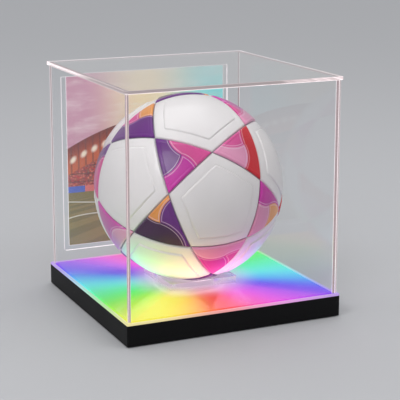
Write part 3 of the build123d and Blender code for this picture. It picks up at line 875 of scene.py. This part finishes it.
five_frames, three_frames = panel_frames()
five_template = panel_template(5, 1 / GOLDEN, five_height, PAD_LINE)
white_panels = build_panels("ball_white_panels", five_frames, five_template, [0] * len(five_frames))
white_panels.data.materials.append(white_coat())
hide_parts("ball_pentagons")
three_template = panel_template(3, 1 / GOLDEN**2, three_height, PRINT_LINE)
print_panels = build_panels("ball_printed_panels", three_frames, three_template, PRINT_OF_PANEL)
for i, names in enumerate(PRINT_SETS):
    print_panels.data.materials.append(print_coat(i, names))
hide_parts("ball_triangles")


# The picture pocket's strip and window

STRIP_WIDTH = 6.0 * MM
STRIP_CORNER = 3.0 * MM
POLISH = 0.2 * MM
# Each sheet is a hair clear of its neighbour, because clear faces that lie on each other turn dark
BOND_GAP = 0.05 * MM
SAME_PLACE = 1e-6
pocket_low, pocket_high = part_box("pocket_spacer")
window_low, window_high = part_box("pocket_sheet")


def rounded_foot(half, foot, corner, steps=6):
    """The lower part of the pocket's outline, from the left side round to the right."""
    points = []
    for side in (-1, 1):
        for i in range(steps + 1):
            turn = math.pi / 2 * (i if side < 0 else steps + i) / steps
            middle = side * (half - corner)
            points.append((middle - corner * math.cos(turn), foot + corner - corner * math.sin(turn)))
    return points


def clear_slab(name, outline, front, back, body):
    """A flat sheet with polished corners, from its outline seen from the front."""
    mesh = bmesh.new()
    face = mesh.faces.new([mesh.verts.new((x, front, z)) for x, z in outline])
    raised = bmesh.ops.extrude_face_region(mesh, geom=[face])["geom"]
    back_verts = [item for item in raised if isinstance(item, bmesh.types.BMVert)]
    bmesh.ops.translate(mesh, verts=back_verts, vec=(0, back - front, 0))
    bmesh.ops.recalc_face_normals(mesh, faces=mesh.faces)
    rim = [edge for edge in mesh.edges if abs(edge.verts[0].co.y - edge.verts[1].co.y) < SAME_PLACE]
    bmesh.ops.bevel(mesh, geom=rim, offset=POLISH, segments=1, affect="EDGES", clamp_overlap=True)
    made = add_mesh(name, mesh)
    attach(made, body)
    return made


half = pocket_high.x
top = pocket_high.z
foot = pocket_low.z
slot = half - STRIP_WIDTH
window_outline = [(-half, top), *rounded_foot(half, foot, STRIP_CORNER), (half, top)]
frame_outline = [*window_outline, (slot, top), (slot, foot + STRIP_WIDTH), (-slot, foot + STRIP_WIDTH),
                 (-slot, top)]
pocket_frame = clear_slab("pocket_frame", frame_outline, pocket_low.y + BOND_GAP, pocket_high.y, "cover")
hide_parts("pocket_spacer")
pocket_window = clear_slab("pocket_window", window_outline, window_low.y + BOND_GAP, window_high.y, "cover")
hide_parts("pocket_sheet")


# Finishes of the model's own pieces

# Each finish: its name, the pieces that have it, colour, roughness, and what else differs
GRAINED_PIECES = [
    ("black_shell", ["base_shell"], (0.0035, 0.0035, 0.004), 0.5,
     dict(grain=1400.0, bump=0.25, depth=0.1 * MM, specular=0.13)),
    ("black_floor", ["bottom_cover"], (0.012, 0.012, 0.013), 0.6, dict(grain=700.0, bump=0.4)),
    ("foot_rubber", ["rubber_feet"], (0.02, 0.02, 0.02), 0.8, dict(grain=500.0, bump=0.4)),
    ("button_black", ["button_cap"], (0.03, 0.03, 0.032), 0.35, dict(grain=1800.0, bump=0.15)),
    ("screw_steel", ["cover_screws", "board_screws"], (0.52, 0.52, 0.54), 0.35,
     dict(grain=1200.0, metallic=1.0, bump=0.1)),
    ("socket_steel", ["usb_socket"], (0.62, 0.62, 0.64), 0.28, dict(grain=2200.0, metallic=1.0, bump=0.08)),
    ("tongue_black", ["socket_tongue", "mode_switch", "board_parts"], (0.02, 0.02, 0.02), 0.5, {}),
    ("board_green", ["controller_board"], (0.02, 0.14, 0.06), 0.35, dict(grain=300.0, coat=0.4)),
    ("reflector_white", ["reflector_sheet"], (0.82, 0.82, 0.82), 0.5, dict(grain=300.0)),
    ("diffuser_opal", ["diffuser_sheet"], (0.85, 0.85, 0.87), 0.4, dict(grain=300.0)),
    ("tape_white", ["led_tape"], (0.75, 0.75, 0.72), 0.5, dict(grain=300.0)),
    ("chip_yellow", ["led_chips"], (0.85, 0.75, 0.3), 0.3, dict(grain=2000.0)),
    ("lead_grey", ["strip_lead"], (0.45, 0.45, 0.46), 0.5, dict(grain=800.0)),
    ("seam_grey", ["ball_bladder"], (0.30, 0.28, 0.32), 0.5, {}),
    ("valve_rubber", ["ball_valve"], (0.05, 0.05, 0.05), 0.6, {}),
]


def dress(piece, material):
    """Give a piece one finish."""
    piece.data.materials.clear()
    piece.data.materials.append(material)


for finish_name, pieces, colour, roughness, settings in GRAINED_PIECES:
    finish = grained(finish_name, colour, roughness, **settings)
    for piece_name in pieces:
        dress(nodes[piece_name], finish)
dress(nodes["light_plate"], lit_plate_finish())
dress(nodes["picture_card"], picture_finish())

facing_y = clear_sheet("acrylic_front_and_rear", (0, 1, 0))
dress(nodes["front_panel"], facing_y)
dress(nodes["rear_panel"], facing_y)
facing_x = clear_sheet("acrylic_sides", (1, 0, 0))
dress(nodes["left_panel"], facing_x)
dress(nodes["right_panel"], facing_x)
dress(nodes["top_panel"], clear_sheet("acrylic_top", (0, 0, 1), cut_painted_glow=0.38))
pocket_clear = clear_sheet("acrylic_pocket", (0, 1, 0), cut_painted_glow=0.35)
dress(pocket_frame, pocket_clear)
dress(pocket_window, pocket_clear)
dress(nodes["riser"], clear_sheet("acrylic_riser", (0, 0, 1), cut_painted_glow=0.04, corner_painted_glow=0.7,
                                  cut_tint=(0.95, 0.93, 0.94), sawn=0.1, index=RISER_INDEX))


# Floor

FLOOR_HALF = 8.0
PALE_GREY = (0.50, 0.50, 0.51)


def lay_floor():
    """A large plain floor."""
    corners = [(-FLOOR_HALF, -FLOOR_HALF, 0), (FLOOR_HALF, -FLOOR_HALF, 0), (FLOOR_HALF, FLOOR_HALF, 0),
               (-FLOOR_HALF, FLOOR_HALF, 0)]
    data = bpy.data.meshes.new("floor")
    data.from_pydata(corners, [], [(0, 1, 2, 3)])
    floor = add_object("floor", data)
    finish, tree, shader = new_finish("floor_pale")
    plug(tree, shader.inputs["Base Color"], PALE_GREY)
    shader.inputs["Roughness"].default_value = 0.7
    shader.inputs["Specular IOR Level"].default_value = 0.2
    data.materials.append(finish)


lay_floor()


# Lamps

def area_lamp(name, place, aim, size, power, colour=(1, 1, 1)):
    """A soft square lamp that points at a spot."""
    data = bpy.data.lights.new(name, "AREA")
    data.size = size
    data.energy = power
    data.color = colour
    made = add_object(name, data)
    made.location = place
    made.rotation_mode = "QUATERNION"
    made.rotation_quaternion = (Vector(aim) - Vector(place)).to_track_quat("-Z", "Y")
    return made


# Each studio lamp: its name, place, side and power, and whether glossy faces mirror it
STUDIO_LAMPS = [
    ("key", (-1.5, -0.9, 1.5), 1.0, 11, True), ("fill", (1.2, -1.3, 1.7), 1.2, 5, False),
    ("top", (0.1, 0.5, 1.8), 1.2, 4.5, True),
]
case_middle = (cad_low + cad_high) / 2
for name, place, side, power, mirrored in STUDIO_LAMPS:
    area_lamp(name, place, case_middle, side, power).visible_glossy = mirrored

# The light that the plate throws up at the ball: a ring of small lamps close above it
GLOW_LAMPS = 8
GLOW_RADIUS = 88 * MM
GLOW_SIZE = 56 * MM
GLOW_HEIGHT = 3 * MM
GLOW_POWER = 0.026
for i in range(GLOW_LAMPS):
    turn = FULL_TURN * (i + 0.5) / GLOW_LAMPS
    share = (turn / FULL_TURN + CORNER_TO_X) % 1.0
    near = min(LIGHT_ROUND, key=lambda stop: abs(share_of_turn(stop[0], stop[1]) - share))
    half_white = [0.5 + 0.5 * part for part in LIGHT_COLOURS[near[2]]]
    spot = Vector((GLOW_RADIUS * math.cos(turn), GLOW_RADIUS * math.sin(turn), plate_high.z + GLOW_HEIGHT))
    lamp = area_lamp(f"glow_{i}", spot, spot + Vector((0, 0, 1)), GLOW_SIZE, GLOW_POWER, half_white)
    lamp.visible_camera = False
    lamp.visible_transmission = False
    lamp.visible_glossy = False


# Studio round the case: a soft pale light, seen as plain grey by the eye, in gloss and through glass

SOFT_WHITE = (0.95, 0.97, 1.0)
SOFT_LIGHT = 0.80


def surround_with_light():
    """The world's light, and the plain grey that is seen in its place."""
    world = bpy.data.worlds.new("studio")
    world.use_nodes = True
    bpy.context.scene.world = world
    tree = world.node_tree
    light = tree.nodes["Background"]
    plug(tree, light.inputs["Color"], SOFT_WHITE)
    plug(tree, light.inputs["Strength"], SOFT_LIGHT)
    seen = add_node(tree, "ShaderNodeBackground")
    plug(tree, seen.inputs["Color"], PALE_GREY)
    plug(tree, seen.inputs["Strength"], 1.0)
    path = add_node(tree, "ShaderNodeLightPath").outputs
    clear_or_gloss = calc(tree, "MAXIMUM", path["Is Glossy Ray"], path["Is Transmission Ray"])
    choose = add_node(tree, "ShaderNodeMixShader")
    plug(tree, choose.inputs[0], calc(tree, "MAXIMUM", path["Is Camera Ray"], clear_or_gloss))
    plug(tree, choose.inputs[1], light.outputs[0])
    plug(tree, choose.inputs[2], seen.outputs[0])
    plug(tree, tree.nodes["World Output"].inputs["Surface"], choose.outputs[0])


surround_with_light()


# Camera, from in front on the left and a little above; angles in radians

CAMERA_PLACE = (-0.60825, -1.36267, 0.48201)
CAMERA_YAW = 0.42843
CAMERA_PITCH = 0.20630
SENSOR = 36.0
PICTURE_SIDE = 400.0
FOCAL_PIXELS = 1302.22
VIEW_AXIS_PIXEL_Y = 160.0
FAR_CLIP = 100.0


def place_camera():
    """The camera that the case is seen with, its axis a little above the picture's middle."""
    data = bpy.data.cameras.new("camera")
    data.sensor_width = SENSOR
    data.lens = FOCAL_PIXELS / PICTURE_SIDE * SENSOR
    data.shift_y = (VIEW_AXIS_PIXEL_Y - PICTURE_SIDE / 2) / PICTURE_SIDE
    data.clip_end = FAR_CLIP
    camera = add_object("camera", data)
    camera.location = CAMERA_PLACE
    ahead = Vector((math.sin(CAMERA_YAW), math.cos(CAMERA_YAW), 0)) * math.cos(CAMERA_PITCH)
    look = ahead - Vector((0, 0, math.sin(CAMERA_PITCH)))
    camera.rotation_mode = "QUATERNION"
    camera.rotation_quaternion = look.to_track_quat("-Z", "Y")
    bpy.context.scene.camera = camera


place_camera()
bpy.context.scene.view_settings.view_transform = "Standard"
